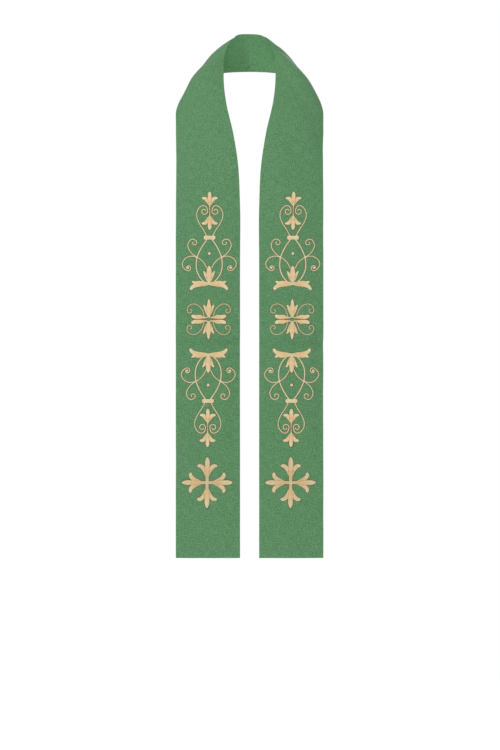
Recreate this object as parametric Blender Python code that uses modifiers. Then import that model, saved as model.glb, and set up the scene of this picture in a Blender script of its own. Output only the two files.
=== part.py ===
"""Clerical stole, hanging as it does when worn: a long band of green cloth round the back of the
neck, whose two fronts fall straight to the knee, with raised gold embroidery down each front.

Metres, +Z up. The fronts face -Y and the wearer's right-hand front lies at -X. The origin is the
middle of the neck edge at the centre back, where the band rests on the nape.
"""

import math
from collections import namedtuple

import bmesh
import bpy
from mathutils import Vector
from mathutils.geometry import delaunay_2d_cdt

MM = 0.001

# ---- Cloth ----------------------------------------------------------------------------------
PANEL_WIDTH = 144.7 * MM
FRONT_GAP = 42.8 * MM
CLOTH_THICKNESS = 2.0 * MM
SEAM_GAP = 0.3 * MM
STRIPS_ACROSS = 8

# ---- Embroidery -----------------------------------------------------------------------------
STITCH_HEIGHT = 0.8 * MM
STITCH_CLEARANCE = 0.4 * MM
STEM = 2.6
FRAME_STEM = 3.0
FINE_STEM = 2.3
CORD = 5.0
AXIS_LEAN = math.radians(0.55)
AXIS_SHIFT = 2.0 * MM
CENTRE_DROP = 660 * MM
COLLAR_ABOVE_CENTRE = 183.6
CROSS_BELOW_CENTRE = 367.2
DOT_BELOW_COLLAR = 35.8
DOT_RADIUS = 3.7

GREEN = (0.115, 0.262, 0.130)
GOLD = (0.760, 0.545, 0.300)

# Where the band goes round the neck: its neck edge and its outer edge at each section, in
# millimetres from the nape, how far the section's middle stands proud of the straight line
# between them, and how many rings of faces run to the next section.
Section = namedtuple("Section", "place rings inner outer crown")
NECK = (
    Section("centre back", 3, (0, 0, 0), (0, 40, -84), 6),
    Section("back of neck", 3, (-27, -6, -3), (-62, 30, -88), 9),
    Section("neck corner", 3, (-42, -18, -13.5), (-104, -4, -98), 14.5),
    Section("side of neck", 3, (-52, -36, -36), (-132, -52, -120), 13.5),
    Section("shoulder", 3, (-57.5, -55, -59), (-155, -82, -151), 16),
    Section("front of shoulder", 3, (-58.8, -74, -85), (-166, -100, -180), 13),
    Section("collar bone", 3, (-58, -100, -127), (-166.8, -119, -222), 10),
    Section("upper chest", 3, (-52, -128, -172), (-166.6, -137, -264), 9),
    Section("chest", 4, (-37, -154, -238), (-166.1, -153, -311), 8),
    Section("breast", 3, (-25, -174, -320), (-166.1, -167, -362), 6),
)

# Where the fronts hang: how far below the nape, how far in front of it each edge lies, and the
# same crown and rings.
Fall = namedtuple("Fall", "place rings drop inner_forward outer_forward crown")
HANG = (
    Fall("below breast", 4, 405, 184, 174, 5),
    Fall("waist", 6, 530, 188, 180, 3.5),
    Fall("hip", 6, 750, 186, 182, 3.5),
    Fall("thigh", 5, 980, 188, 181, 2.5),
    Fall("hem", 0, 1197, 185, 182, 3),
)


def knots():
    """Distance from the seam along the band's middle, inner edge, outer edge and crown of every
    section of the -X side, from the one before the seam on the other side."""
    inner_x, outer_x = -FRONT_GAP / 2, -FRONT_GAP / 2 - PANEL_WIDTH
    rows = [(Vector(row.inner) * MM, Vector(row.outer) * MM, row.crown * MM) for row in NECK]
    for row in HANG:
        inner = Vector((inner_x, -row.inner_forward * MM, -row.drop * MM))
        outer = Vector((outer_x, -row.outer_forward * MM, -row.drop * MM))
        rows.append((inner, outer, row.crown * MM))
    found, distance, middle = [], 0.0, (rows[0][0] + rows[0][1]) / 2
    for inner, outer, crown in rows:
        distance += ((inner + outer) / 2 - middle).length
        middle = (inner + outer) / 2
        found.append((distance, inner, outer, crown))
    beyond, inner, outer, crown = found[1]
    mirrored = [Vector((-edge.x, edge.y, edge.z)) for edge in (inner, outer)]
    return [(-beyond, *mirrored, crown)] + found


KNOTS = knots()
LENGTH = KNOTS[-1][0]


def slope(before, here, after, column):
    """Rate of change through the middle one of three sections set at uneven distances."""
    back, ahead = here[0] - before[0], after[0] - here[0]
    entering = (here[column] - before[column]) * (ahead / back)
    leaving = (after[column] - here[column]) * (back / ahead)
    return (entering + leaving) / (back + ahead)


def section_at(s):
    """Inner edge, outer edge and crown at s metres along the band from the seam."""
    k = 1
    while k < len(KNOTS) - 2 and s > KNOTS[k + 1][0]:
        k += 1
    before, here, after = KNOTS[k - 1], KNOTS[k], KNOTS[k + 1]
    step = after[0] - here[0]
    t = (s - here[0]) / step
    values = []
    for column in (1, 2, 3):
        start = slope(before, here, after, column) * step
        if k + 2 < len(KNOTS):
            end = slope(here, after, KNOTS[k + 2], column) * step
        else:
            end = after[column] - here[column]
        values.append(
            here[column] * (1 - 3 * t * t + 2 * t * t * t)
            + after[column] * (3 * t * t - 2 * t * t * t)
            + start * (t - 2 * t * t + t * t * t)
            + end * (t * t * t - t * t)
        )
    return values


def band_point(s, v):
    """A point of the band's face: s along it from the seam, v across it from the neck edge."""
    inner, outer, crown = section_at(s)
    near, far = section_at(max(s - 3 * MM, 0)), section_at(min(s + 3 * MM, LENGTH))
    along = far[0] + far[1] - near[0] - near[1]
    proud = (outer - inner).cross(along).normalized()
    return inner.lerp(outer, v) + proud * crown * 4 * v * (1 - v)


def band_normal(s, v):
    """Which way the face points there: away from the wearer."""
    across = band_point(s, min(v + 0.02, 1)) - band_point(s, max(v - 0.02, 0))
    along = band_point(min(s + 2 * MM, LENGTH), v) - band_point(max(s - 2 * MM, 0), v)
    return across.cross(along).normalized()


def ring_places():
    """Where the rings of faces lie. The first sits close to the seam to square its end."""
    places = [0, 0.5 * MM]
    for k, row in enumerate((NECK + HANG)[:-1]):
        start, end = KNOTS[k + 1][0], KNOTS[k + 2][0]
        places += [start + (end - start) * (j + 1) / row.rings for j in range(row.rings)]
    return places


def front_place(across, height):
    """Where a hanging front's point with that x and z lies: along the band, and across it."""
    v = (-across - FRONT_GAP / 2) / PANEL_WIDTH
    high, low = KNOTS[len(NECK)][0], LENGTH
    for _ in range(22):
        middle = (high + low) / 2
        if band_point(middle, v).z > height:
            high = middle
        else:
            low = middle
    return low, v


# ---- Drawing in millimetres: across, up -------------------------------------------------------
def turned(x, y, angle):
    return x * math.cos(angle) - y * math.sin(angle), x * math.sin(angle) + y * math.cos(angle)


def rotated(shapes, degrees):
    return [[turned(x, y, math.radians(degrees)) for x, y in shape] for shape in shapes]


def moved(shapes, right, up):
    return [[(x + right, y + up) for x, y in shape] for shape in shapes]


def flipped(shapes):
    return [[(x, -y) for x, y in shape] for shape in shapes]


def both_sides(shapes):
    return shapes + [[(-x, y) for x, y in shape] for shape in shapes]


def widened(line, half_widths):
    """The closed outline of a line drawn that wide on each side."""
    left, right = [], []
    for i, (x, y) in enumerate(line):
        (x0, y0), (x1, y1) = line[max(i - 1, 0)], line[min(i + 1, len(line) - 1)]
        length = math.hypot(x1 - x0, y1 - y0)
        nx, ny = (y0 - y1) / length, (x1 - x0) / length
        h = half_widths[i]
        left.append((x + nx * h, y + ny * h))
        right.append((x - nx * h, y - ny * h))
    if half_widths[-1] == 0:
        right.pop()
    if half_widths[0] == 0:
        right.pop(0)
    return left + right[::-1]


def between(a, b, c, d, t):
    """The Catmull-Rom value at t from b to c."""
    return b + 0.5 * t * (c - a + t * (2 * a - 5 * b + 4 * c - d + t * (3 * (b - c) + d - a)))


def smooth(points, steps):
    """A curve through the points, with that many steps between each two."""
    line = []
    for i in range(len(points) - 1):
        a, d = points[max(i - 1, 0)], points[min(i + 2, len(points) - 1)]
        b, c = points[i], points[i + 1]
        for j in range(steps):
            t = j / steps
            line.append(tuple(between(*axis, t) for axis in zip(a, b, c, d)))
    return line + [points[-1]]


def lobe(points, halves, blunt=0.5):
    """A petal or a lobe of a leaf. Its centre line runs through the points, and halves are its
    half widths at all of them but the last, the tip; blunt under 1 rounds the tip."""
    line, halves = list(points), list(halves)
    if blunt < 1:
        (x0, y0), (x1, y1) = line[-2:]
        line.insert(-1, (x0 + 0.7 * (x1 - x0), y0 + 0.7 * (y1 - y0)))
        halves.append(halves[-1] * 0.51**blunt)
    return widened(line, halves + [0])


def stem(points, width, curl=(), steps=1):
    """A drawn stem through the points, with a volute of points after them."""
    line = smooth(list(points) + list(curl[:1]), steps) + list(curl[1:])
    return widened(line, [width / 2] * len(line))


def volute(centre, outer, inner, start, sweep, step=52):
    """Points of a spiral that tightens from outer to inner radius; the angles are degrees, and a
    negative sweep runs clockwise."""
    count = round(abs(sweep) / step)
    points = []
    for i in range(count + 1):
        angle = math.radians(start + sweep * i / count)
        radius = inner + (outer - inner) * math.sqrt(1 - i / count)
        points.append((centre[0] + radius * math.cos(angle), centre[1] + radius * math.sin(angle)))
    return points


def disc(centre, radius, sides=8):
    return [
        (
            centre[0] + radius * math.cos(2 * math.pi * i / sides),
            centre[1] + radius * math.sin(2 * math.pi * i / sides),
        )
        for i in range(sides)
    ]


def bud():
    """A trumpet of three petals standing on (0, 0)."""
    horn = lobe(
        [(-0.5, 3), (-3.6, 11.3), (-8.9, 18.4), (-13.8, 20), (-17.8, 19.2)],
        [1.2, 3.4, 3.9, 2.7],
        0.8,
    )
    tongue = lobe([(0, -1), (0, 8), (0, 17), (0, 26), (0, 34.8)], [0.9, 2.2, 3.9, 4.1], 0.8)
    return both_sides([horn]) + [tongue]


def leaf(length, spread, rise, shoulder):
    """A three-lobed leaf standing on (0, 0): how tall it is, where its side tips lie, and the half
    width from which its middle lobe runs to a point."""
    side = lobe(
        [
            (-0.1 * spread, 0.1 * rise),
            (-0.3 * spread, 0.38 * rise),
            (-0.57 * spread, 0.68 * rise),
            (-0.77 * spread, 0.88 * rise),
            (-spread, rise),
        ],
        [2.4, 3.3, 3.2, 2.0],
        1,
    )
    middle = lobe(
        [(0, -1), (0, 0.27 * length), (0, 0.51 * length), (0, 0.73 * length), (0, length)],
        [2.6, 4.4, 5.6, shoulder],
        1,
    )
    return both_sides([side]) + [middle]


def scroll_group():
    """The tall ornament above the centre. Its own zero is the collar that ties it."""
    shapes = moved(bud(), 0, 69) + moved(flipped(bud()), 0, 52)
    shapes.append(stem([(0, 71), (0, 60), (0, 50)], FINE_STEM))
    shapes.append(stem([(-5, 60.6), (0, 60.6), (5, 60.6)], FINE_STEM))
    crossing = (-27.9, -44.2)
    heart = stem(
        [
            (-6.5, 3),
            (-13.8, 17.2),
            (-22, 29.6),
            (-28.4, 43.5),
            (-29.4, 53.6),
            (-27, 62),
            (-22, 68.8),
            (-16.2, 72),
            (-11.2, 71.8),
            (-7.3, 68.6),
        ],
        STEM,
        volute((-12.2, 59.4), 7.8, 2.0, 30, -371),
    )
    frame = stem(
        [
            (-5.5, -4),
            (-14.8, -17),
            (-22.8, -32),
            (-27.6, -45.5),
            (-29.2, -58),
            (-28.6, -70),
            (-25, -81.5),
            (-18.2, -92.8),
            (-9, -101.5),
        ],
        FRAME_STEM,
    )
    rising = stem(
        [crossing, (-39.6, -35.2), (-46.6, -25), (-48.6, -15.6), (-44.4, -6.4), (-37.6, -3.2)],
        STEM,
        volute((-34.4, -11.2), 6.4, 1.8, 62, -280),
    )
    falling = stem(
        [crossing, (-36, -41.9), (-45, -42.2), (-54, -46.8), (-60.4, -56), (-59.2, -65.6)],
        STEM,
        volute((-47.4, -68), 6.9, 1.0, 222, 390),
    )
    inward = stem([crossing, (-20.2, -48.6), (-11.4, -57.6), (-4.8, -70)], STEM)
    shapes += both_sides([heart, frame, rising, falling, inward])
    shapes += both_sides([disc(crossing, 2.6, 6), disc((-47.4, -67.8), 2.9, 6)])
    shapes.append([(-10, -4), (10, -4), (10, 4), (-10, 4)])
    shapes += both_sides([disc((-8.7, 0), 4.7)])
    shapes += moved(leaf(39.2, 13.4, 26.2, 4.9), 0, -102)
    upper_lobe = lobe(
        [(1, -102.4), (-12, -101.8), (-23, -101.2), (-31, -101.6), (-38.2, -98)],
        [1.6, 3.0, 3.8, 3.1],
        0.8,
    )
    lower_lobe = lobe(
        [(1, -103.6), (-12, -105), (-21, -105.2), (-30, -107), (-37, -111), (-42, -117.4)],
        [2.4, 3.8, 4.8, 4.7, 3.6],
    )
    return shapes + both_sides([lower_lobe, upper_lobe])


def centre_ornament():
    """Two leaves and four clubbed arms about (0, 0), with four small scrolls and a cord between
    the arms on each side."""
    club = lobe(
        [(0.5, 6.2), (-4, 4.4), (-8, 3.5), (-13, 4.2), (-20, 5.4), (-31, 5.5), (-38.8, 8.8)],
        [1.3, 1.4, 1.5, 2.6, 4.2, 4.0],
        0.6,
    )
    scroll = stem(
        [(-9.5, 5), (-12, 13.6), (-15.8, 22.6), (-23.6, 31), (-33.4, 34.6), (-42, 32.4), (-47, 27.4)],
        FINE_STEM,
        volute((-42.2, 19.6), 6.7, 1.8, 150, 285),
    )
    cord = stem([(-8, 0), (-22, 0), (-36, 0)], CORD)
    upper = moved(leaf(40.6, 12.6, 26.8, 3.4), 0, 5.4) + both_sides([club, scroll])
    return upper + flipped(upper) + both_sides([cord])


def cross():
    """A cross fleury: four arms, each opening into three petals."""
    side = lobe(
        [(-1, 14), (-4, 24), (-9, 32.2), (-15.2, 37.2), (-22.7, 37.2)],
        [3.2, 4.1, 4.5, 3.9],
        0.8,
    )
    middle = lobe([(0, -3), (0, 12), (0, 28), (0, 43), (0, 57.6)], [3.1, 3.5, 4.6, 5.3], 1)
    arm = [middle] + both_sides([side])
    return sum((rotated(arm, 90 * quarter) for quarter in range(4)), [])


def dot():
    return [disc((0, 0), DOT_RADIUS, 12)]


# ---- Solids ---------------------------------------------------------------------------------
def shown(name, mesh, material, collection):
    obj = bpy.data.objects.new(name, mesh)
    mesh.materials.append(material)
    collection.objects.link(obj)
    return obj


def walled(obj, thickness, offset):
    wall = obj.modifiers.new("wall", "SOLIDIFY")
    wall.thickness = thickness
    wall.offset = offset


def half(name, side, material, collection):
    """One side of the band, from the seam at the centre back to its hem."""
    places = ring_places()
    rings = len(places) - 1
    bm = bmesh.new()
    bmesh.ops.create_grid(bm, x_segments=STRIPS_ACROSS, y_segments=rings, size=0.5)
    for vert in bm.verts:
        s = places[round((vert.co.y + 0.5) * rings)]
        point = band_point(s, vert.co.x + 0.5)
        if s == 0:
            point.x = -SEAM_GAP / 2
        vert.co = (-side * point.x, point.y, point.z)
    if side > 0:
        bmesh.ops.reverse_faces(bm, faces=bm.faces)
    mesh = bpy.data.meshes.new(name)
    bm.to_mesh(mesh)
    bm.free()
    mesh.shade_smooth()
    walled(shown(name, mesh, material, collection), CLOTH_THICKNESS, -1)


def united(shapes):
    """Points and triangles of the area that the outlines cover together."""
    corners, edges, outlines = [], [], []
    for shape in shapes:
        area = sum(
            x0 * y1 - x1 * y0 for (x0, y0), (x1, y1) in zip(shape, shape[1:] + shape[:1])
        )
        ring = shape if area > 0 else shape[::-1]
        outlines.append(list(range(len(corners), len(corners) + len(ring))))
        corners += [Vector(point) for point in ring]
    points, _, faces, _, _, inside = delaunay_2d_cdt(corners, edges, outlines, 0, 1e-4)
    return points, [face for face, owners in zip(faces, inside) if owners]


def embroidery(name, side, shapes, above_centre, material, collection):
    """Raised stitching that follows the front it lies on, just clear of the cloth."""
    points, faces = united(shapes)
    middle = side * (FRONT_GAP + PANEL_WIDTH) / 2
    bm = bmesh.new()
    for point in points:
        up = above_centre * MM + point.y * MM
        across = middle + AXIS_SHIFT + point.x * MM + up * math.sin(AXIS_LEAN)
        s, v = front_place(-side * across, up - CENTRE_DROP)
        lifted = band_point(s, v) + band_normal(s, v) * STITCH_CLEARANCE
        bm.verts.new((-side * lifted.x, lifted.y, lifted.z))
    bm.verts.ensure_lookup_table()
    for face in faces:
        bm.faces.new([bm.verts[i] for i in face])
    loose = [vert for vert in bm.verts if not vert.link_faces]
    bmesh.ops.delete(bm, geom=loose, context="VERTS")
    mesh = bpy.data.meshes.new(name)
    bm.to_mesh(mesh)
    bm.free()
    walled(shown(name, mesh, material, collection), STITCH_HEIGHT, 1)


def finish(name, colour, roughness):
    material = bpy.data.materials.new(name)
    material.use_nodes = True
    shader = material.node_tree.nodes["Principled BSDF"]
    shader.inputs["Base Color"].default_value = (*colour, 1)
    shader.inputs["Roughness"].default_value = roughness
    material.diffuse_color = (*colour, 1)
    return material


def main():
    for obj in list(bpy.data.objects):
        bpy.data.objects.remove(obj)
    stole = bpy.data.collections.new("clerical_stole")
    bpy.context.scene.collection.children.link(stole)
    for label, side in (("right", -1), ("left", 1)):
        half(f"{label}_half", side, finish(f"{label}_cloth", GREEN, 0.8), stole)
        ornaments = (
            ("upper_scroll", scroll_group(), COLLAR_ABOVE_CENTRE),
            ("upper_dot", dot(), COLLAR_ABOVE_CENTRE - DOT_BELOW_COLLAR),
            ("centre_ornament", centre_ornament(), 0),
            ("lower_dot", dot(), DOT_BELOW_COLLAR - COLLAR_ABOVE_CENTRE),
            ("lower_scroll", flipped(scroll_group()), -COLLAR_ABOVE_CENTRE),
            ("cross", cross(), -CROSS_BELOW_CENTRE),
        )
        for ornament, shapes, above_centre in ornaments:
            name = f"{label}_{ornament}"
            embroidery(name, side, shapes, above_centre, finish(name, GOLD, 0.5), stole)


main()
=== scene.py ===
"""The looks of a green clerical stole that hangs as it does when worn: two cloth halves, seamed at
the centre back, and raised gold satin stitch down each front.

Metres, +Z up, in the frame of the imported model: the fronts face -Y, the wearer's right-hand front
lies at -X, and the origin is the middle of the neck edge at the centre back.
"""

import math
from collections import namedtuple

import bpy
import numpy as np
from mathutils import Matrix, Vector


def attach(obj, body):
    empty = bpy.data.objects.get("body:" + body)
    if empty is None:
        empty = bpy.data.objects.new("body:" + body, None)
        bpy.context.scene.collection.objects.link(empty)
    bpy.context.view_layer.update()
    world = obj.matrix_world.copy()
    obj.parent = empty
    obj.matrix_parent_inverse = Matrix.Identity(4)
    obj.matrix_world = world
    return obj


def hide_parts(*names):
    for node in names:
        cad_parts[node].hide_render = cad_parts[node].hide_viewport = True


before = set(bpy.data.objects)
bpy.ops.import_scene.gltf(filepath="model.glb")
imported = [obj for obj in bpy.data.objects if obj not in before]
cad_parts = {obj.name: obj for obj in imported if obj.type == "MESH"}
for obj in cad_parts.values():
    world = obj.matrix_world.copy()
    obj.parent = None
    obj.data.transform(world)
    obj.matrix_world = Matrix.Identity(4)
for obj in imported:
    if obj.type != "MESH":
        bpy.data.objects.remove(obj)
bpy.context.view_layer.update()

MM = 0.001

# ---- Cloth: the sizes and sections of the solids ----------------------------------------------
PANEL_WIDTH = 144.7 * MM
FRONT_GAP = 42.8 * MM
CLOTH_THICKNESS = 2.0 * MM

# Neck edge and outer edge of the band at each section, in millimetres from the nape, and how far
# the section's middle stands proud of the straight line between them.
Section = namedtuple("Section", "place inner outer crown")
NECK = (
    Section("centre back", (0, 0, 0), (0, 40, -84), 6),
    Section("back of neck", (-27, -6, -3), (-62, 30, -88), 9),
    Section("neck corner", (-42, -18, -13.5), (-104, -4, -98), 14.5),
    Section("side of neck", (-52, -36, -36), (-132, -52, -120), 13.5),
    Section("shoulder", (-57.5, -55, -59), (-155, -82, -151), 16),
    Section("front of shoulder", (-58.8, -74, -85), (-166, -100, -180), 13),
    Section("collar bone", (-58, -100, -127), (-166.8, -119, -222), 10),
    Section("upper chest", (-52, -128, -172), (-166.6, -137, -264), 9),
    Section("chest", (-37, -154, -238), (-166.1, -153, -311), 8),
    Section("breast", (-25, -174, -320), (-166.1, -167, -362), 6),
)

# Where the fronts hang: how far below the nape, how far in front of it each edge lies, the crown.
Fall = namedtuple("Fall", "place drop inner_forward outer_forward crown")
HANG = (
    Fall("below breast", 405, 184, 174, 5),
    Fall("waist", 530, 188, 180, 3.5),
    Fall("hip", 750, 186, 182, 3.5),
    Fall("thigh", 980, 188, 181, 2.5),
    Fall("hem", 1197, 185, 182, 3),
)

# ---- Cloth: what the eye sees beyond the solids -----------------------------------------------
# The step between points, how far the rounding of the edges and of the seam reaches, and how far
# from the seam the folds begin in full.
CELL = 2.6 * MM
EDGE_ROUND = 1.0 * MM
SEAM_ROUND = 0.45 * MM
SEAM_CALM = 45 * MM
# Where the rows of points lie over a rounded edge, as shares of its reach.
ROUND_ROWS = np.array([0, 0.04, 0.15, 0.35, 0.65, 1.0])

# Soft troughs (depth under 0) and ridges: millimetres along the band from the seam, fraction of
# the width from the neck edge, half length, half width, depth in millimetres, and the degrees by
# which the fold climbs from the neck edge to the outer edge: 90 runs it down the band.
Fold = namedtuple("Fold", "along across length width depth climb")
FOLDS = {
    "right": (
        Fold(62, 0.10, 24, 7, -1.9, 18),
        Fold(97, 0.16, 30, 9, -2.4, 4),
        Fold(128, 0.12, 22, 7, -1.4, -12),
        Fold(152, 0.74, 46, 16, 1.7, 24),
        Fold(205, 0.30, 52, 15, -1.7, -22),
        Fold(268, 0.66, 58, 20, 1.3, 14),
        Fold(330, 0.34, 62, 24, -1.2, -12),
        Fold(468, 0.62, 70, 26, -1.0, 8),
        Fold(640, 0.40, 80, 30, 1.2, -6),
        Fold(772, 0.42, 96, 21, 3.0, -2),
        Fold(804, 0.11, 32, 9, -1.8, -4),
        Fold(808, 0.24, 84, 12.5, -3.7, -3),
        Fold(948, 0.0, 150, 24, -2.6, 90),
        Fold(966, 0.22, 58, 12, -2.7, 4),
        Fold(1050, 0.62, 72, 15, -2.5, -5),
        Fold(1150, 0.30, 76, 28, 1.2, 7),
    ),
    "left": (
        Fold(55, 0.12, 22, 8, -1.7, 12),
        Fold(88, 0.10, 27, 7, -2.2, 8),
        Fold(118, 0.18, 30, 10, -2.0, -6),
        Fold(160, 0.70, 50, 17, 1.5, 20),
        Fold(218, 0.36, 48, 13, -1.5, -18),
        Fold(282, 0.58, 60, 22, 1.2, 10),
        Fold(352, 0.42, 66, 22, -1.3, -9),
        Fold(512, 0.36, 64, 28, -0.9, -7),
        Fold(668, 0.58, 78, 32, 1.1, 5),
        Fold(773, 0.60, 92, 21, 2.9, 3),
        Fold(803, 0.90, 30, 9, -2.0, 4),
        Fold(809, 0.76, 82, 12.5, -3.6, 3),
        Fold(940, 1.0, 160, 26, -2.4, 90),
        Fold(970, 0.78, 56, 12, -2.6, -4),
        Fold(1044, 0.38, 74, 15, -2.4, 5),
        Fold(1158, 0.66, 72, 26, 1.1, -8),
    ),
}
# Slow waves all over the cloth: how many, how deep and how long.
DRIFTS = 9
DRIFT_DEPTH = 0.30 * MM
DRIFT_SHORTEST, DRIFT_LONGEST = 70 * MM, 240 * MM
DRIFT_SEEDS = {"right": 11, "left": 12}

# ---- Embroidery: where it lies, in millimetres --------------------------------------------------
# Its axis lies beyond the middle of the band, towards +X on both fronts, and leans that way too.
AXIS_LEAN = math.radians(0.55)
AXIS_SHIFT = 2.0
CENTRE_DROP = 660
COLLAR_ABOVE_CENTRE = 183.6
CROSS_BELOW_CENTRE = 367.2
DOT_BELOW_COLLAR = 35.8

# ---- Embroidery: the threads, in millimetres ---------------------------------------------------
# How broad the stems are, and the radius of each kind of disc.
STEM, FRAME_STEM, FINE_STEM, CORD, COLLAR = 1.45, 2.0, 1.0, 1.6, 8.0
COLLAR_KNOB, CROSSING_KNOT, CURL_KNOT, DOT_RADIUS = 4.7, 2.5, 2.3, 2.9
# How far apart the threads lie, how deep the dips between them are, and how uneven their ends.
THREAD_PITCH = 0.55
THREAD_DIP = 0.13
THREAD_RAGGED = 0.16
# How high stems, petals, the petals on top of them and discs stand at most. A slight stroke stands
# at SLIGHT_HEIGHT, and HEIGHT_GAIN higher for each millimetre of half width.
LOW, FULL, TOP = 0.72, 1.05, 1.35
DISC_HEIGHT = FULL + 0.1
SLIGHT_HEIGHT, HEIGHT_GAIN = 0.30, 0.42
# The least half width of a stroke, and how far a petal's threads trail behind down its vein, as a
# share of its length.
THINNEST = 0.2
CHEVRON = 0.12
# The brown run round a stroke, painted shade round the raised stitching and between its petals:
# how broad and how high, how high beside the top petals, the share of its breadth at which it is
# highest, and how deep its foot lies in the cloth.
SHADE_RUN = 1.5
SHADE_RUN_HEIGHT = 0.22
RAISED_SHADE_RUN = 1.1
SHADE_RUN_CREST = 0.45
SUNK = -0.10
FIRST_SEED, SEED_STEP = 100, 10

SIDES = (("right", -1), ("left", 1))


# ---- The band's form --------------------------------------------------------------------------
# How far to each side of a point its directions are measured, along the band and as a share of
# its width.
TANGENT_REACH = 3 * MM
NORMAL_REACH, NORMAL_SHARE = 2 * MM, 0.015


def knots():
    """Distance from the seam along the band's middle, and inner edge, outer edge and crown in one
    row, of every section of the -X side, from the one before the seam on the other side."""
    inner_x = -FRONT_GAP / 2 / MM
    outer_x = inner_x - PANEL_WIDTH / MM
    rows = [(*row.inner, *row.outer, row.crown) for row in NECK]
    for row in HANG:
        inner = (inner_x, -row.inner_forward, -row.drop)
        rows.append((*inner, outer_x, -row.outer_forward, -row.drop, row.crown))
    values = np.array(rows) * MM
    middle = (values[:, :3] + values[:, 3:6]) / 2
    steps = np.linalg.norm(np.diff(middle, axis=0), axis=1)
    places = np.concatenate([[0], np.cumsum(steps)])
    mirrored = values[1] * (-1, 1, 1, -1, 1, 1, 1)
    return np.concatenate([[-places[1]], places]), np.vstack([mirrored, values])


PLACES, VALUES = knots()
LENGTH = PLACES[-1]


def slopes():
    """Rates of change at the sections, which lie at uneven distances."""
    step = np.diff(PLACES)[:, None]
    rate = np.diff(VALUES, axis=0) / step
    through = (rate[:-1] * step[1:] + rate[1:] * step[:-1]) / (step[:-1] + step[1:])
    return np.vstack([rate[:1], through, rate[-1:]])


SLOPES = slopes()


def sections(s):
    """Inner edge, outer edge and crown at s metres along the band from the seam."""
    k = np.clip(np.searchsorted(PLACES, s) - 1, 1, len(PLACES) - 2)
    step = (PLACES[k + 1] - PLACES[k])[..., None]
    t = (s - PLACES[k])[..., None] / step
    found = (
        VALUES[k] * (1 - 3 * t**2 + 2 * t**3)
        + VALUES[k + 1] * (3 * t**2 - 2 * t**3)
        + SLOPES[k] * step * (t - 2 * t**2 + t**3)
        + SLOPES[k + 1] * step * (t**3 - t**2)
    )
    return found[..., :3], found[..., 3:6], found[..., 6:]


def unit(vectors):
    return vectors / np.linalg.norm(vectors, axis=-1, keepdims=True)


def smooth_point(s, v):
    """A point of the solid's face: s along it from the seam, v across it from the neck edge."""
    inner, outer, crown = sections(s)
    near = sections(np.maximum(s - TANGENT_REACH, 0))
    far = sections(np.minimum(s + TANGENT_REACH, LENGTH))
    along = far[0] + far[1] - near[0] - near[1]
    proud = unit(np.cross(outer - inner, along))
    across = v[..., None]
    return inner + (outer - inner) * across + proud * crown * 4 * across * (1 - across)


def normals(point, s, v):
    """Which way the surface point(s, v) faces: away from the wearer."""
    outer = point(s, np.minimum(v + NORMAL_SHARE, 1))
    inner = point(s, np.maximum(v - NORMAL_SHARE, 0))
    lower = point(np.minimum(s + NORMAL_REACH, LENGTH), v)
    upper = point(np.maximum(s - NORMAL_REACH, 0), v)
    return unit(np.cross(outer - inner, lower - upper))


def relief(label, s, v):
    """How far the folds and the cloth's slow drift lift the face of one half."""
    across = v * PANEL_WIDTH
    lift = np.zeros(np.broadcast(s, v).shape)
    for fold in FOLDS[label]:
        right = across - fold.across * PANEL_WIDTH
        down = s - fold.along * MM
        turn = math.radians(fold.climb)
        lengthwise = (right * math.cos(turn) - down * math.sin(turn)) / (fold.length * MM)
        sideways = (right * math.sin(turn) + down * math.cos(turn)) / (fold.width * MM)
        lift += fold.depth * MM * np.exp(-(lengthwise**2) - sideways**2)
    random = np.random.default_rng(DRIFT_SEEDS[label])
    for _ in range(DRIFTS):
        wave = random.uniform(DRIFT_SHORTEST, DRIFT_LONGEST)
        turn, start = random.uniform(0, 2 * math.pi, 2)
        phase = (across * math.cos(turn) + s * math.sin(turn)) * 2 * math.pi / wave + start
        lift += DRIFT_DEPTH * np.sin(phase)
    calm = np.clip(s / SEAM_CALM, 0, 1)
    return lift * calm * calm * (3 - 2 * calm)


def half_surface(label):
    """The finished face of one half as a function of (s, v), on the -X side."""

    def point(s, v):
        lift = relief(label, s, v)[..., None]
        return smooth_point(s, v) + normals(smooth_point, s, v) * lift

    return point


def mirrored_to(side, points):
    """The -X side's points, moved over to the +X side if side is 1."""
    return points * (-side, 1, 1)


# ---- Meshes -----------------------------------------------------------------------------------
def new_piece(name, points, faces, material):
    mesh = bpy.data.meshes.new(name)
    mesh.from_pydata(points.tolist(), [], faces)
    mesh.materials.append(material)
    piece = bpy.data.objects.new(name, mesh)
    bpy.context.scene.collection.objects.link(piece)
    return piece


def add_map(mesh, name, corners):
    """A UV map from one (u, v) for each face corner."""
    layer = mesh.uv_layers.new(name=name)
    layer.data.foreach_set("uv", np.asarray(corners, np.float32).ravel())


def add_values(mesh, name, domain, values):
    """A number for each face or each point, which a material reads by its name."""
    layer = mesh.attributes.new(name, "FLOAT", domain)
    layer.data.foreach_set("value", np.asarray(values, np.float32))


def corner_vertices(mesh):
    found = np.empty(len(mesh.loops), np.int32)
    mesh.loops.foreach_get("vertex_index", found)
    return found


def stations(end, step, first, last):
    """Places from 0 to end, close together over the rounded ends and otherwise step apart."""
    near = first * ROUND_ROWS
    far = end - last * ROUND_ROWS[::-1]
    count = math.ceil((far[0] - near[-1]) / step)
    return np.concatenate([near, np.linspace(near[-1], far[0], count + 1)[1:-1], far])


def rounded(distance, reach):
    """0 at an edge, rising on a quarter ellipse to 1 at reach from it."""
    return np.sqrt(1 - (1 - np.clip(distance / reach, 0, 1)) ** 2)


def quads(grid, turned_over):
    """The faces of a grid of point numbers, facing the other way if turned over."""
    around = [grid[:-1, :-1], grid[:-1, 1:], grid[1:, 1:], grid[1:, :-1]]
    return np.stack(around[::-1] if turned_over else around, -1).reshape(-1, 4)


def within(share, margin):
    """The share of a strip, kept that margin clear of both of its ends."""
    return margin + (1 - 2 * margin) * share


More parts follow.
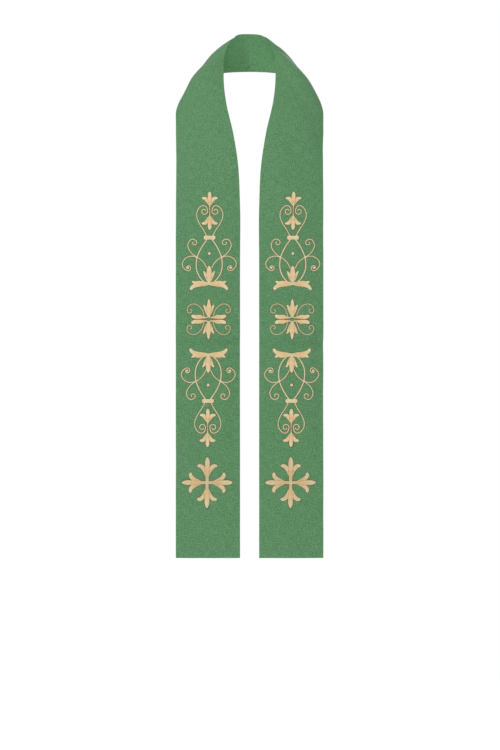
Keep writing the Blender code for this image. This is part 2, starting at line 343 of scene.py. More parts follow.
# The left half is cut a metre further along the cloth, so that its slubs lie elsewhere.
LEFT_CUT = 1.0
STRIPS = 4
MARGIN_ACROSS, MARGIN_ALONG = 0.02, 0.01


def cloth_strips(at, hidden, lower, cut):
    """The map for baking: strips side by side for the face's upper and lower stretch and then for
    the reverse's. at is (v, s) at each corner of a face, and the stretches meet at s = cut."""
    strip = np.repeat(lower + 2 * hidden, 4)
    below = np.repeat(lower, 4)
    first = np.where(below, cut, 0)
    reach = np.where(below, LENGTH - cut, cut)
    across = (strip + within(at[:, 0], MARGIN_ACROSS)) / STRIPS
    return np.stack([across, within((at[:, 1] - first) / reach, MARGIN_ALONG)], -1)


def cloth_half(label, side, material):
    """One half of the band: face and reverse, joined round its rounded edges."""
    rows = stations(LENGTH, CELL, SEAM_ROUND, EDGE_ROUND)
    columns = stations(PANEL_WIDTH, CELL, EDGE_ROUND, EDGE_ROUND) / PANEL_WIDTH
    s, v = np.meshgrid(rows, columns, indexing="ij")
    surface = half_surface(label)
    full = (
        rounded(np.minimum(v, 1 - v) * PANEL_WIDTH, EDGE_ROUND)
        * rounded(s, SEAM_ROUND)
        * rounded(LENGTH - s, EDGE_ROUND)
    )
    wall = normals(surface, s, v) * CLOTH_THICKNESS / 2
    middle = surface(s, v) - wall
    front, back = middle + wall * full[..., None], middle - wall * full[..., None]
    points = np.vstack([front.reshape(-1, 3), back[1:-1, 1:-1].reshape(-1, 3)])
    grid = np.stack([v, s], -1)
    place = np.vstack([grid.reshape(-1, 2), grid[1:-1, 1:-1].reshape(-1, 2)])

    # The reverse has points of its own but for the outermost, which it shares with the face.
    index = np.arange(s.size).reshape(s.shape)
    hidden = index.copy()
    hidden[1:-1, 1:-1] = np.arange(s.size, len(points)).reshape(hidden[1:-1, 1:-1].shape)
    shown, reverse = quads(index, side > 0), quads(hidden, side < 0)
    faces = np.vstack([shown, reverse])
    piece = new_piece(f"{label}_half_cloth", mirrored_to(side, points), faces.tolist(), material)
    mesh = piece.data
    mesh.shade_smooth()

    number = np.arange(len(faces))
    on_reverse = number >= len(shown)
    half_way = len(rows) // 2
    lower = number % len(shown) // (len(columns) - 1) >= half_way
    add_values(mesh, "reverse", "FACE", on_reverse)
    at = place[corner_vertices(mesh)]
    across = at[:, 0] * PANEL_WIDTH + LEFT_CUT * (side > 0)
    add_map(mesh, "Weave", np.stack([across, at[:, 1]], -1))
    add_map(mesh, "OFBake", cloth_strips(at, on_reverse, lower, rows[half_way]))
    return piece


# ---- Stitching: strokes in millimetres, across and up -------------------------------------------
# A stroke is a run of satin stitch: its centre line, its half width along it, how high it stands,
# whether its threads meet in a vein down the middle, whether they are gold or brown like the fine
# run of painted shade round them, and whether that run goes round its start as well as its end.
Stroke = namedtuple("Stroke", "line halves height veined gold ringed")


def stroke_along(line, halves, height, veined, ringed=False):
    return Stroke(np.array(line, float), np.array(halves, float), height, veined, True, ringed)


def changed(strokes, change):
    return [stroke._replace(line=change(stroke.line)) for stroke in strokes]


def rotated(strokes, degrees):
    c, s = math.cos(math.radians(degrees)), math.sin(math.radians(degrees))
    return changed(strokes, lambda line: line @ np.array([[c, s], [-s, c]]))


def moved(strokes, right, up):
    return changed(strokes, lambda line: line + (right, up))


def flipped(strokes):
    return changed(strokes, lambda line: line * (1, -1))


def both_sides(strokes):
    return strokes + changed(strokes, lambda line: line * (-1, 1))


def arc_lengths(line):
    steps = np.linalg.norm(np.diff(line, axis=0), axis=1)
    return np.concatenate([[0], np.cumsum(steps)])


def resampled(line, halves):
    """The same stroke with a point for the crest and the dip of every thread."""
    length = arc_lengths(line)
    threads = max(round(length[-1] / THREAD_PITCH), 3)
    even = np.linspace(0, length[-1], 2 * threads + 1)
    columns = [np.interp(even, length, line[:, axis]) for axis in (0, 1)]
    return np.stack(columns, -1), np.interp(even, length, halves)


# How many steps lie between each two marks of a lobe and of a stem, how often a stem's bends are
# evened out, and how many degrees of a volute lie between two of its points.
LOBE_STEPS, STEM_STEPS = 20, 10
STEM_EVENINGS = 3
VOLUTE_STEP = 9


def between(a, b, c, d, t):
    """The Catmull-Rom value at t from b to c."""
    return b + 0.5 * t * (c - a + t * (2 * a - 5 * b + 4 * c - d + t * (3 * (b - c) + d - a)))


def smooth(marks, steps):
    """A curve through the marks, with that many steps between each two."""
    marks = [np.array(mark, float) for mark in marks]
    line = []
    for i in range(len(marks) - 1):
        a, d = marks[max(i - 1, 0)], marks[min(i + 2, len(marks) - 1)]
        line += [between(a, marks[i], marks[i + 1], d, t) for t in np.arange(steps) / steps]
    return np.array(line + [marks[-1]])


def lobe(points, halves, blunt=0.5, height=FULL):
    """A petal or a lobe of a leaf. Its centre line runs through the points, and halves are its
    half widths at all of them but the last, the tip; blunt 0.5 rounds the tip, 1 points it."""
    line = smooth(points, LOBE_STEPS)
    widths = smooth([*halves, halves[-1]], LOBE_STEPS)
    near_tip = np.linspace(0, 1, LOBE_STEPS + 1)
    widths[-LOBE_STEPS - 1 :] = halves[-1] * (1 - near_tip**2) ** blunt
    return stroke_along(line, widths, height, True)


def stem(points, width, curl=(), height=LOW):
    """A stem through the points, with a volute of points after them."""
    line = np.array([*smooth([*points, *curl[:1]], STEM_STEPS), *curl[1:]])
    for _ in range(STEM_EVENINGS):
        line[1:-1] = (line[:-2] + 2 * line[1:-1] + line[2:]) / 4
    return stroke_along(line, np.full(len(line), width / 2), height, False)


def volute(centre, outer, inner, start, sweep):
    """Points of a spiral that tightens from outer to inner radius; the angles are degrees, and a
    negative sweep runs clockwise."""
    turn = np.linspace(0, 1, round(abs(sweep) / VOLUTE_STEP) + 1)
    angle = np.radians(start + sweep * turn)
    radius = inner + (outer - inner) * np.sqrt(1 - turn)
    return np.stack([centre[0] + radius * np.cos(angle), centre[1] + radius * np.sin(angle)], -1)


# A disc's points, and how far its first and last ones lie from its two ends, in radians.
DISC_POINTS = 25
DISC_END = 0.2


def disc(centre, radius):
    """A round spot, stitched from left to right."""
    angle = np.linspace(math.pi - DISC_END, DISC_END, DISC_POINTS)
    line = np.stack([centre[0] + radius * np.cos(angle), np.full(DISC_POINTS, centre[1])], -1)
    return stroke_along(line, radius * np.sin(angle), DISC_HEIGHT, False, True)


def bud():
    """A trumpet of three petals standing on (0, 0)."""
    horn = lobe(
        [(-0.5, 3), (-3.6, 11.3), (-8.9, 18.4), (-13.8, 20), (-17.8, 19.2)],
        [1.2, 3.4, 3.9, 2.7],
        0.8,
    )
    tongue = lobe(
        [(0, -1), (0, 8), (0, 17), (0, 26), (0, 34.8)], [0.9, 2.2, 3.9, 4.1], 0.8, TOP
    )
    return both_sides([horn]) + [tongue]


def leaf(length, spread, rise, shoulder):
    """A three-lobed leaf standing on (0, 0): how tall it is, where its side tips lie, and the half
    width from which its middle lobe runs to a point."""
    side = lobe(
        [
            (-0.1 * spread, 0.1 * rise),
            (-0.3 * spread, 0.38 * rise),
            (-0.57 * spread, 0.68 * rise),
            (-0.77 * spread, 0.88 * rise),
            (-spread, rise),
        ],
        [2.4, 3.3, 3.2, 2.0],
        1,
    )
    middle = lobe(
        [(0, -1), (0, 0.27 * length), (0, 0.51 * length), (0, 0.73 * length), (0, length)],
        [2.6, 4.4, 5.6, shoulder],
        1.2,
        TOP,
    )
    return both_sides([side]) + [middle]


# Where the stems of a scroll group cross beside its oval, and where its falling stem curls.
CROSSING = (-27.9, -44.2)
FALLING_CURL = (-47.4, -68)


def heart():
    """One side of the heart of scrolls that stands on the collar, curling in at the top."""
    points = [
        (-6.5, 3),
        (-13.8, 17.2),
        (-22, 29.6),
        (-28.4, 43.5),
        (-29.4, 53.6),
        (-27, 62),
        (-22, 68.8),
        (-16.2, 72),
        (-11.2, 71.8),
        (-7.3, 68.6),
    ]
    return stem(points, STEM, volute((-12.2, 59.4), 7.8, 2.0, 30, -371))


def oval():
    """One side of the pointed oval that hangs from the collar."""
    points = [
        (-5.5, -4),
        (-14.8, -17),
        (-22.8, -32),
        (-27.6, -45.5),
        (-29.2, -58),
        (-28.6, -70),
        (-25, -81.5),
        (-18.2, -92.8),
        (-9, -101.5),
    ]
    return stem(points, FRAME_STEM)


def side_scrolls():
    """The three stems that spring from one side of the oval: up, down and inwards."""
    rising = stem(
        [CROSSING, (-39.6, -35.2), (-46.6, -25), (-48.6, -15.6), (-44.4, -6.4), (-37.6, -3.2)],
        STEM,
        volute((-34.4, -11.2), 6.4, 1.8, 62, -280),
    )
    falling = stem(
        [CROSSING, (-36, -41.9), (-45, -42.2), (-54, -46.8), (-60.4, -56), (-59.2, -65.6)],
        STEM,
        volute(FALLING_CURL, 6.9, 1.0, 222, 390),
    )
    inward = stem([CROSSING, (-20.2, -48.6), (-11.4, -57.6), (-4.8, -70)], STEM)
    return [rising, falling, inward]


def leafy_arm():
    """The two long lobes on one side of the oval's point."""
    lower_lobe = lobe(
        [(1, -103.6), (-12, -105), (-21, -105.2), (-30, -107), (-37, -111), (-42, -117.4)],
        [2.4, 3.8, 4.8, 4.7, 3.6],
    )
    upper_lobe = lobe(
        [(1, -102.4), (-12, -101.8), (-23, -101.2), (-31, -101.6), (-38.2, -98)],
        [1.6, 3.0, 3.8, 3.1],
        0.8,
    )
    return [lower_lobe, upper_lobe]


def scroll_group():
    """The tall ornament above the centre. Its own zero is the collar that ties it."""
    strokes = moved(bud(), 0, 69) + moved(flipped(bud()), 0, 52)
    strokes.append(stem([(0, 71), (0, 60), (0, 50)], FINE_STEM))
    strokes.append(stem([(-4, 60.6), (0, 60.6), (4, 60.6)], FINE_STEM)._replace(gold=False))
    strokes += both_sides([heart(), oval(), *side_scrolls()])
    strokes += both_sides([disc(CROSSING, CROSSING_KNOT), disc((-47.4, -67.8), CURL_KNOT)])
    strokes += both_sides([disc((-8.7, 0), COLLAR_KNOB)])
    strokes.append(stem([(-10, 0), (0, 0), (10, 0)], COLLAR, height=FULL))
    strokes += moved(leaf(39.2, 13.4, 26.2, 4.9), 0, -102)
    return strokes + both_sides(leafy_arm())


def centre_ornament():
    """Two leaves and four clubbed arms about (0, 0), with four small scrolls and a cord between
    the arms on each side."""
    club = lobe(
        [(0.5, 6.2), (-4, 4.4), (-8, 3.5), (-13, 4.2), (-20, 5.4), (-31, 5.5), (-38.8, 8.8)],
        [1.3, 1.4, 1.5, 2.6, 4.2, 4.0],
        0.6,
    )
    rising = [(-9.5, 5), (-12, 13.6), (-15.8, 22.6), (-23.6, 31)]
    turning = [(-33.4, 34.6), (-42, 32.4), (-47, 27.4)]
    scroll = stem(rising + turning, FINE_STEM, volute((-42.2, 19.6), 6.7, 1.8, 150, 285))
    cord = stem([(-8, 0), (-22, 0), (-36, 0)], CORD)._replace(gold=False)
    upper = both_sides([scroll, club]) + moved(leaf(40.6, 12.6, 26.8, 3.4), 0, 5.4)
    return upper + flipped(upper) + both_sides([cord])


def cross():
    """A cross fleury: four arms, each opening into three petals."""
    side = lobe(
        [(-1, 14), (-4, 24), (-9, 32.2), (-15.2, 37.2), (-22.7, 37.2)],
        [3.2, 4.1, 4.5, 3.9],
        0.8,
    )
    middle = lobe(
        [(0, -3), (0, 12), (0, 28), (0, 43), (0, 57.6)], [3.1, 3.5, 4.6, 5.3], 1, TOP
    )
    arm = both_sides([side]) + [middle]
    return sum((rotated(arm, 90 * quarter) for quarter in range(4)), [])


def dot():
    return [disc((0, 0), DOT_RADIUS)]


# ---- Stitching: threads -------------------------------------------------------------------------
# Across a stroke, from its middle to its edge: the fraction of the half width, and the height of
# the threads there as a share of the stroke's, without and with a vein down the middle.
Mark = namedtuple("Mark", "across plain veined")
MARKS = (
    Mark(0.0, 1.0, 0.70),
    Mark(0.30, 0.97, 0.96),
    Mark(0.62, 0.86, 1.0),
    Mark(0.88, 0.62, 0.74),
    Mark(1.0, 0.34, 0.36),
)
STEM_MARKS = (MARKS[0], MARKS[2], MARKS[4])
# The tone of brown points: the brown strokes, and the run of painted shade round every stroke.
BROWN_AND_SHADE_TONE = 1.2
# Where along a stroke its gold is warmest and how far that reaches, as shares of its length, how
# warm a plain stroke is beside a veined one, and from which half width to which it grows warm.
WARM_PLACE, WARM_REACH = 0.5, 0.42
PLAIN_WARMTH = 0.5
BROAD_FROM, BROAD = 1.4, 3.6
# Where a shape closes in, the brown run lies askew across it, up to so many times as broad.
BROADEST_RUN = 1.9
# How far round a stroke's end the cross-sections of the brown run lie, in degrees.
END_TURNS = (5, 30, 55, 76)


def run_beside(line, halves):
    """How broad the brown run is beside each point of a stroke."""
    closing_in = np.gradient(halves, arc_lengths(line)[-1] / (len(line) - 1))
    return SHADE_RUN * np.minimum(np.hypot(1, closing_in), BROADEST_RUN)


def warmth(halves, veined):
    """How warm the gold is at each point of a stroke: under 0 on a fine one, up to 1 in the middle
    of a broad one."""
    t = np.linspace(0, 1, len(halves))
    broad = np.clip((halves - BROAD_FROM) / (BROAD - BROAD_FROM), 0, 1)
    near = np.exp(-(((t - WARM_PLACE) / WARM_REACH) ** 2))
    fine = np.clip(1 - halves / BROAD_FROM, 0, 1)
    return broad * near * (1 if veined else PLAIN_WARMTH) - fine


def run_round(section, tip, way, level):
    """The cross-sections that carry the brown run round a stroke's end, from its last one. tip is
    where its centre line ends, way is where that points, and level is how high the run stands."""
    turn = np.radians(END_TURNS)[:, None, None]
    spots = tip + (section[:, :2] - tip) * np.cos(turn) + way * SHADE_RUN * np.sin(turn)
    rises = SUNK + (np.minimum(section[:, 2:], level) - SUNK) * np.cos(turn)
    return np.concatenate([spots, rises], -1)


def rings(stroke, random):
    """The stroke's closed cross-sections as (x, y, height), and for each point how far across it
    lies, from 0 in the middle over 1 at the edge to BROWN_AND_SHADE_TONE, how warm its gold is, and its
    thread's own number."""
    line, halves = resampled(stroke.line, stroke.halves)
    count = len(line)
    t = np.linspace(0, 1, count)
    heading = unit(np.gradient(line, axis=0))
    left = np.stack([-heading[:, 1], heading[:, 0]], -1)
    marks, chevron = (MARKS, CHEVRON) if stroke.veined else (STEM_MARKS, 0)
    lag = t - chevron * 4 * t * (1 - t)
    middle = np.stack([np.interp(lag, t, line[:, axis]) for axis in (0, 1)], -1)
    halves = np.maximum(halves, THINNEST)
    height = np.minimum(stroke.height, SLIGHT_HEIGHT + HEIGHT_GAIN * halves)
    dips = np.where(np.arange(count) % 2, THREAD_DIP, 0)
    strands = np.repeat(random.uniform(0, 1, count // 2 + 1), 2)[:count]
    run = run_beside(line, halves)
    crest = RAISED_SHADE_RUN if stroke.height == TOP else SHADE_RUN_HEIGHT

    def column(side, reach, up, tone):
        """One point of every cross-section, reach from the centre line, with its tone."""
        share = min(tone, 1.0)
        spots = middle * (1 - share) + line * share + left * (side * reach)[:, None]
        return np.column_stack([spots, up]), tone if stroke.gold else BROWN_AND_SHADE_TONE

    columns = []
    for side in (1, -1):
        ragged = random.uniform(-1, 1, count) * THREAD_RAGGED
        half = []
        for mark in marks:
            reach = halves * mark.across + ragged * (mark.across == 1)
            share = mark.veined if stroke.veined else mark.plain
            half.append(column(side, reach, height * share - dips, mark.across))
        for share, level in ((SHADE_RUN_CREST, crest), (1.0, SUNK)):
            reach = halves + run * share
            half.append(column(side, reach, np.full(count, level), BROWN_AND_SHADE_TONE))
        columns.append(half)
    ordered = columns[0][::-1] + columns[1][1:]
    points = np.stack([spots for spots, _ in ordered], 1)
    tones = np.tile([tone for _, tone in ordered], (count, 1))

    end = run_round(points[-1], line[-1], heading[-1], crest)
    start = points[:0]
    if stroke.ringed:
        start = run_round(points[0], line[0], -heading[0], crest)[::-1]
    added = (len(start), len(end))
    points = np.concatenate([start, points, end])
    tones = np.pad(tones, (added, (0, 0)), constant_values=BROWN_AND_SHADE_TONE)
    rows = (np.pad(row, added, "edge") for row in (warmth(halves, stroke.veined), strands))
    return points, tones, *(np.repeat(row[:, None], len(ordered), 1) for row in rows)


# ---- Stitching: the map for baking, in millimetres before it is scaled --------------------------
# The gap between the strokes' strips, and the round cap at each end of a strip: its reach, how
# much of that it fills and how far off the strip it starts.
SHELF_GAP = 0.6
CAP = 1.0
CAP_FILL = 0.9
CAP_CLEAR = 0.05


def shelves(sizes):
    """Where strips of those lengths and widths lie on a map without touching, and its extents."""
    across = max(math.sqrt(sum(length * width for length, width in sizes)), max(sizes)[0])
    order = sorted(range(len(sizes)), key=lambda i: -sizes[i][1])
    places, x, y, tall = [None] * len(sizes), 0, 0, 0
    for i in order:
        length, width = sizes[i]
        if x and x + length > across:
            x, y, tall = 0, y + tall + SHELF_GAP, 0
        places[i] = (x, y)
        x += length + SHELF_GAP
        tall = max(tall, width)
    return places, across + SHELF_GAP, y + tall + SHELF_GAP


def ribbon_map(place, length, width, count, around):
    """Where the corners of a ribbon's faces lie: its sides in a strip, its ends in the caps."""
    along = place[0] + CAP + np.linspace(0, length, count)
    across = place[1] + np.linspace(0, width, around)
    after_across = np.append(across[1:], across[-1] + CAP / 2)
    u0, v0 = np.meshgrid(along[:-1], across, indexing="ij")
    u1, v1 = np.meshgrid(along[1:], after_across, indexing="ij")
    sides = np.stack([u0, v0, u0, v1, u1, v1, u1, v0], -1).reshape(-1, 2)
    cap = CAP_CLEAR + np.sin(np.linspace(0, math.pi, around)) * CAP * CAP_FILL
    start = np.stack([along[0] - cap, across], -1)[::-1]
    end = np.stack([along[-1] + cap, across], -1)
    return np.vstack([sides, start, end])


# ---- Stitching: meshes --------------------------------------------------------------------------
# How often the distance down the band is corrected until a point lies at its height.
SEARCHES = 6


def on_front(label, side, points, above_centre):
    """Points (x, y, height) of an ornament, laid on one front's cloth."""
    surface = half_surface(label)
    up = (above_centre + points[..., 1]) * MM
    middle = side * (FRONT_GAP + PANEL_WIDTH) / 2 + AXIS_SHIFT * MM
    x = middle + points[..., 0] * MM + up * math.sin(AXIS_LEAN)
    v = np.clip((-FRONT_GAP / 2 + side * x) / PANEL_WIDTH, 0, 1)
    z = up - CENTRE_DROP * MM
    s = LENGTH + VALUES[-1][2] - z
    for _ in range(SEARCHES):
        s = np.clip(s + smooth_point(s, v)[..., 2] - z, 0, LENGTH)
    placed = surface(s, v) + normals(surface, s, v) * (points[..., 2:] * MM)
    return mirrored_to(side, placed)


def ribbon_faces(start, count, around):
    """The faces of a closed ribbon of cross-sections whose points are numbered from start on: its
    sides, then its two ends."""
    index = start + np.arange(count * around).reshape(count, around)
    after = np.roll(index, -1, axis=1)
    sides = np.stack([index[:-1], after[:-1], after[1:], index[1:]], -1).reshape(-1, 4)
    return sides.tolist() + [index[0][::-1].tolist(), index[-1].tolist()]


def sharpen_threads(mesh, section_of):
    """Keeps every thread's crest and dip sharp: the edges that stay in one cross-section."""
    ends = np.empty(len(mesh.edges) * 2, np.int32)
    mesh.edges.foreach_get("vertices", ends)
    sections_met = section_of[ends].reshape(-1, 2)
    layer = mesh.attributes.new("sharp_edge", "BOOLEAN", "EDGE")
    layer.data.foreach_set("value", sections_met[:, 0] == sections_met[:, 1])


def stitching(name, label, side, strokes, above_centre, material, seed):
    """One ornament: every stroke a closed ribbon of threads, in one mesh."""
    random = np.random.default_rng(seed)
    points, *values = zip(*(rings(stroke, random) for stroke in strokes))
    lengths = [arc_lengths(stroke.line)[-1] for stroke in strokes]
    widths = [2 * (stroke.halves.max() + SHADE_RUN) for stroke in strokes]
    sizes = [(length + 2 * CAP, width + CAP) for length, width in zip(lengths, widths)]
    places, map_across, map_up = shelves(sizes)
    faces, baked, section_of = [], [], []
    start = 0
    for ring, length, width, place in zip(points, lengths, widths, places):
        count, around = ring.shape[:2]
        faces += ribbon_faces(start, count, around)
        baked.append(ribbon_map(place, length, width, count, around))
        section_of.append(start + np.arange(count * around) // around)
        start += count * around
    laid = on_front(label, side, np.vstack([ring.reshape(-1, 3) for ring in points]), above_centre)
    piece = new_piece(name, laid, faces, material)
    mesh = piece.data
    mesh.shade_smooth()
    sharpen_threads(mesh, np.concatenate(section_of))
    for attribute, rows in zip(("across", "warm", "strand"), values):
        add_values(mesh, attribute, "POINT", np.concatenate([row.ravel() for row in rows]))
    add_map(mesh, "OFBake", np.vstack(baked) / (map_across, map_up))
    return piece


# ---- Materials ----------------------------------------------------------------------------------
def new_material(name):
    material = bpy.data.materials.new(name)
    material.use_nodes = True
    return material, material.node_tree, material.node_tree.nodes["Principled BSDF"]


def fill(tree, node, inputs):
    """Sets a node's inputs, given as values or as sockets to link."""
    for key, value in inputs.items():
        if isinstance(value, bpy.types.NodeSocket):
            tree.links.new(value, node.inputs[key])
        else:
            node.inputs[key].default_value = value


def add(tree, kind, inputs, output=0, **settings):
    """A new node with its settings and inputs. It returns the output socket of that name or
    number."""
    made = tree.nodes.new(kind)
    for key, value in settings.items():
        setattr(made, key, value)
    fill(tree, made, inputs)
    return made.outputs[output]


def maths(tree, operation, a, b=0.0, c=0.0, **settings):
    return add(tree, "ShaderNodeMath", {0: a, 1: b, 2: c}, operation=operation, **settings)


def value_of(tree, attribute):
    """The number that the mesh holds under that name."""
    return add(tree, "ShaderNodeAttribute", {}, "Fac", attribute_name=attribute)


def scaled(tree, colour, scale):
    return add(tree, "ShaderNodeVectorMath", {0: colour, "Scale": scale}, operation="SCALE")


def ramp(tree, factor, *stops):
    """A colour ramp with (position, colour) stops."""
    socket = add(tree, "ShaderNodeValToRGB", {"Fac": factor})
    elements = socket.node.color_ramp.elements
    while len(elements) < len(stops):
        elements.new(1)
    for element, (position, colour) in zip(elements, stops):
        element.position = position
        element.color = (*colour, 1)
    return socket


def mixed(tree, factor, a, b):
    """Colour a, or b where the factor is 1."""
    return add(
        tree, "ShaderNodeMix", {"Factor": factor, "A": a, "B": b}, "Result", data_type="RGBA"
    )


def noise(tree, where, scale, detail, stretch=(1, 1, 1)):
    """Noise in metres: scale is how many blotches fit in one, stretch multiplies it each way."""
    mapped = add(tree, "ShaderNodeMapping", {"Vector": where, "Scale": stretch})
    return add(tree, "ShaderNodeTexNoise", {"Vector": mapped, "Scale": scale, "Detail": detail})


WEAVE_PITCH = 0.9 * MM
GREEN_DARK = (0.059, 0.172, 0.068)
GREEN_MIDDLE = (0.094, 0.245, 0.106)
GREEN_LIGHT = (0.147, 0.328, 0.156)
GREEN_STOPS = (0.42, 0.5, 0.58)
# The painted glint: a lighter colour where a stretch of thread would catch the light.
PAINTED_GLINT = (0.30, 0.45, 0.33)
# How much paler the reverse is: partly its own tone, partly painted light for the shaded reverse
# inside the neck.
REVERSE_TONE_AND_PAINTED_LIGHT = 0.28
# How many fit in a metre: blotches of mottle, and slubs across a thread and along it. Then how
# fine the noise is inside them, and what share of the colour each of the two settles.
MOTTLE_SCALE, SLUBS_ACROSS, SLUBS_ALONG = 420, 1300, 60
MOTTLE_DETAIL, SLUB_DETAIL = 3, 2
MOTTLE_SHARE, SLUB_SHARE = 0.45, 0.55
# How abruptly one thread dives under the other.
THREAD_DIVE = 1.5
# Painted glints, a lighter colour on short stretches of thread: how many cells fit in a metre each
# way, how far a glint fills its cell, over which number of its own a cell has one, and how strong
# it is.
GLINT_CELLS = (300, 1100, 1)
GLINT_FILL, GLINT_RARE, GLINT_STRENGTH = 0.30, 0.80, 0.5
# Thick stretches of thread are smoother than thin ones, and both the weave and the tone are raised.
ROUGHEST, SLUB_SMOOTHER = 0.92, 0.35
WEAVE_RELIEF, TONE_RELIEF = 0.35, 1.6
BUMP_STRENGTH, BUMP_DEPTH = 0.45, 0.25 * MM
CLOTH_SPECULAR, SHEEN, SHEEN_ROUGHNESS = 0.28, 0.12, 0.5


def plain_weave(tree, where):
    """1 where a warp thread lies on top, -1 where a weft thread does, and 0 between them."""
    parts = add(tree, "ShaderNodeSeparateXYZ", {"Vector": where}).node.outputs
    turns = (maths(tree, "MULTIPLY", parts[axis], 2 * math.pi / WEAVE_PITCH) for axis in (0, 1))
    return maths(tree, "MULTIPLY", *[maths(tree, "SINE", turn) for turn in turns])


def slubs_of(tree, where, weave):
    """How thick the thread on top is from place to place."""
    warp = noise(tree, where, 1, SLUB_DETAIL, (SLUBS_ACROSS, SLUBS_ALONG, 1))
    weft = noise(tree, where, 1, SLUB_DETAIL, (SLUBS_ALONG, SLUBS_ACROSS, 1))
    over = maths(tree, "MULTIPLY_ADD", weave, THREAD_DIVE, 0.5, use_clamp=True)
    return maths(tree, "MULTIPLY_ADD", maths(tree, "SUBTRACT", warp, weft), over, weft)


def painted_glints(tree, where):
    """1 on the few short stretches of thread that get a painted glint, otherwise 0."""
    short = add(tree, "ShaderNodeMapping", {"Vector": where, "Scale": GLINT_CELLS})
    cells = add(tree, "ShaderNodeTexVoronoi", {"Vector": short, "Scale": 1.0})
    near = maths(tree, "LESS_THAN", cells, GLINT_FILL)
    own = add(tree, "ShaderNodeSeparateColor", {"Color": cells.node.outputs["Color"]})
    return maths(tree, "MULTIPLY", near, maths(tree, "GREATER_THAN", own, GLINT_RARE))


def green_cloth():
    """Matt woven green with slubs along both threads and a fine painted glint here and there. Its
    reverse is a little paler: partly its own tone, partly painted light that lifts the reverse
    where it lies in shade inside the neck."""
    material, tree, shader = new_material("green_cloth_weave")
    where = add(tree, "ShaderNodeUVMap", {}, uv_map="Weave")
    weave = plain_weave(tree, where)
    slubs = slubs_of(tree, where, weave)
    mottle = noise(tree, where, MOTTLE_SCALE, MOTTLE_DETAIL)
    part = maths(tree, "MULTIPLY", mottle, MOTTLE_SHARE)
    tone = maths(tree, "MULTIPLY_ADD", slubs, SLUB_SHARE, part)
    colour = ramp(tree, tone, *zip(GREEN_STOPS, (GREEN_DARK, GREEN_MIDDLE, GREEN_LIGHT)))
    # Painted glints, mixed into the cloth's colour.
    glint = maths(tree, "MULTIPLY", painted_glints(tree, where), GLINT_STRENGTH)
    face = mixed(tree, glint, colour, (*PAINTED_GLINT, 1))
    # Paler on the reverse: partly its own tone, partly painted light.
    paler = maths(tree, "MULTIPLY_ADD", value_of(tree, "reverse"), REVERSE_TONE_AND_PAINTED_LIGHT, 1.0)
    raised = maths(tree, "MULTIPLY", tone, TONE_RELIEF)
    height = maths(tree, "MULTIPLY_ADD", weave, WEAVE_RELIEF, raised)
    bump = {"Height": height, "Strength": BUMP_STRENGTH, "Distance": BUMP_DEPTH}
    looks = {
        "Base Color": scaled(tree, face, paler),
        "Roughness": maths(tree, "MULTIPLY_ADD", slubs, -SLUB_SMOOTHER, ROUGHEST),
        "Normal": add(tree, "ShaderNodeBump", bump),
        "Specular IOR Level": CLOTH_SPECULAR,
        "Sheen Weight": SHEEN,
        "Sheen Roughness": SHEEN_ROUGHNESS,
    }
    fill(tree, shader, looks)
    return material


# Brown: the colour of the brown strokes, and painted shade in the run round every stroke.
BROWN_AND_SHADE = (0.182, 0.110, 0.029)
STEM_GOLD = (0.698, 0.672, 0.392)
CREAM = (0.702, 0.674, 0.414)
PEACH = (0.792, 0.552, 0.284)
# How far across a stroke its warmth is whole, and what share of it is left at the edge.
CORE, WARM_AT_EDGE = 0.45, 0.3
# Every thread has a shade of its own between these two.
DULLEST_THREAD, BRIGHTEST_THREAD = 0.88, 1.08
# Where, beyond a stroke's edge, the gold gives way to the brown run of painted shade.
SHADE_FROM, SHADE_TO = 1.02, 1.09
GOLD_ROUGHNESS, GOLD_SPECULAR = 0.45, 0.5
CROSS_DULLER = 0.91


def gold_thread(name, dull):
    """Satin stitch: pale gold on the stems, cream on the petals, peach in the middle of the broad
    ones, and a fine brown run round all of them that paints the shade round the raised stitching."""
    material, tree, shader = new_material(name)
    across, warm, strand = (value_of(tree, own) for own in ("across", "warm", "strand"))
    fading = {"From Min": CORE, "From Max": 1.0, "To Min": 1.0, "To Max": WARM_AT_EDGE}
    core = add(tree, "ShaderNodeMapRange", {"Value": across, **fading})
    depth = maths(tree, "MULTIPLY_ADD", maths(tree, "MULTIPLY", core, warm), 0.5, 0.5)
    gold = ramp(tree, depth, (0.0, STEM_GOLD), (0.5, CREAM), (1.0, PEACH))
    shades = {"To Min": DULLEST_THREAD * dull, "To Max": BRIGHTEST_THREAD * dull}
    shade = add(tree, "ShaderNodeMapRange", {"Value": strand, **shades})
    edge = {"From Min": SHADE_FROM, "From Max": SHADE_TO}
    beyond = add(tree, "ShaderNodeMapRange", {"Value": across, **edge})
    looks = {
        "Base Color": mixed(tree, beyond, scaled(tree, gold, shade), (*BROWN_AND_SHADE, 1)),
        "Roughness": GOLD_ROUGHNESS,
        "Specular IOR Level": GOLD_SPECULAR,
    }
    fill(tree, shader, looks)
    return material


# ---- Stage, light and camera --------------------------------------------------------------------
FLOOR_DROP = 1.60
FLOOR_RADIUS = 1.4
FLOOR_SIDES = 96
FLOOR_WHITE, FLOOR_ROUGHNESS, FLOOR_GLOW = 0.95, 0.9, 0.3
WHITE = (1, 1, 1, 1)
CAMERA_BACK, CAMERA_RIGHT, CAMERA_DROP = 8.0, 0.0009, 0.7852
LENS, SENSOR = 166.8, 36.0
AIR_LIGHT = 0.525
Lamp = namedtuple("Lamp", "name place target size watts")
LAMPS = (
    Lamp("key_light", (-3.6, -4.4, 3.4), (0, -0.15, -0.65), 1.8, 156),
    Lamp("neck_light", (0, -1.9, 0.25), (0, 0, -0.3), 0.6, 7.5),
    Lamp("back_light", (2.6, 4.2, 1.2), (0, 0, -0.4), 2.6, 90),
)


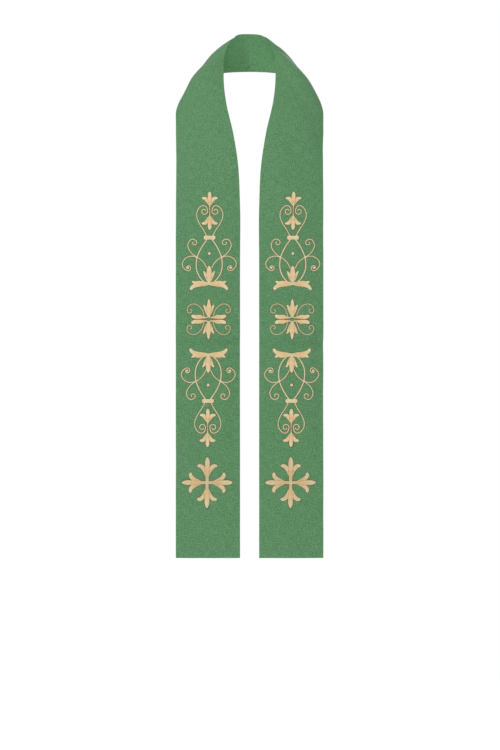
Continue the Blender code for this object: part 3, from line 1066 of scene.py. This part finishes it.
def soft_light(lamp):
    """A round area light, turned to its target."""
    light = bpy.data.lights.new(lamp.name, "AREA")
    light.shape = "DISK"
    light.size = lamp.size
    light.energy = lamp.watts
    obj = bpy.data.objects.new(lamp.name, light)
    obj.location = lamp.place
    obj.rotation_mode = "QUATERNION"
    way = Vector(np.subtract(lamp.target, lamp.place))
    obj.rotation_quaternion = way.to_track_quat("-Z", "Y")
    bpy.context.scene.collection.objects.link(obj)


def pale_floor():
    bpy.ops.mesh.primitive_circle_add(
        vertices=FLOOR_SIDES, radius=FLOOR_RADIUS, fill_type="NGON", location=(0, 0, -FLOOR_DROP)
    )
    floor = bpy.context.object
    floor.name = "studio_floor"
    material, tree, shader = new_material("pale_floor")
    looks = {
        "Base Color": (FLOOR_WHITE, FLOOR_WHITE, FLOOR_WHITE, 1),
        "Roughness": FLOOR_ROUGHNESS,
        "Emission Color": WHITE,
        "Emission Strength": FLOOR_GLOW,
    }
    fill(tree, shader, looks)
    floor.data.materials.append(material)


def white_air():
    """Even light all round, which the camera sees as plain white."""
    world = bpy.data.worlds.new("studio_air")
    world.use_nodes = True
    bpy.context.scene.world = world
    tree = world.node_tree
    seen = add(tree, "ShaderNodeLightPath", {}, "Is Camera Ray")
    levels = {"Value": seen, "To Min": AIR_LIGHT, "To Max": 1.0}
    strength = add(tree, "ShaderNodeMapRange", levels)
    fill(tree, tree.nodes["Background"], {"Color": WHITE, "Strength": strength})


def photo_camera():
    """A long lens, straight in front of the stole and level."""
    lens = bpy.data.cameras.new("photo_camera")
    lens.sensor_width = SENSOR
    lens.lens = LENS
    camera = bpy.data.objects.new("photo_camera", lens)
    bpy.context.scene.collection.objects.link(camera)
    camera.location = (CAMERA_RIGHT, -CAMERA_BACK, -CAMERA_DROP)
    camera.rotation_euler = (math.pi / 2, 0, 0)
    bpy.context.scene.camera = camera


def studio():
    """A white room with a soft key from the left and above, and two fainter lights."""
    pale_floor()
    white_air()
    for lamp in LAMPS:
        soft_light(lamp)
    photo_camera()
    bpy.context.scene.view_settings.view_transform = "Standard"


# ---- The stole ----------------------------------------------------------------------------------
def finished(piece, node):
    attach(piece, "root")
    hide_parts(node)


def stole():
    weave = green_cloth()
    leaf_thread = gold_thread("gold_thread_satin", 1.0)
    cross_thread = gold_thread("gold_thread_cross", CROSS_DULLER)
    for label, side in SIDES:
        half = cloth_half(label, side, weave)
        finished(half, f"{label}_half")
        ornaments = (
            ("upper_scroll", scroll_group(), COLLAR_ABOVE_CENTRE, leaf_thread),
            ("upper_dot", dot(), COLLAR_ABOVE_CENTRE - DOT_BELOW_COLLAR, leaf_thread),
            ("centre_ornament", centre_ornament(), 0, leaf_thread),
            ("lower_dot", dot(), DOT_BELOW_COLLAR - COLLAR_ABOVE_CENTRE, leaf_thread),
            ("lower_scroll", flipped(scroll_group()), -COLLAR_ABOVE_CENTRE, leaf_thread),
            ("cross", cross(), -CROSS_BELOW_CENTRE, cross_thread),
        )
        for number, (ornament, strokes, above_centre, thread) in enumerate(ornaments):
            node = f"{label}_{ornament}"
            seed = FIRST_SEED + SEED_STEP * number + side
            piece = stitching(
                f"{node}_stitching", label, side, strokes, above_centre, thread, seed
            )
            finished(piece, node)


stole()
studio()
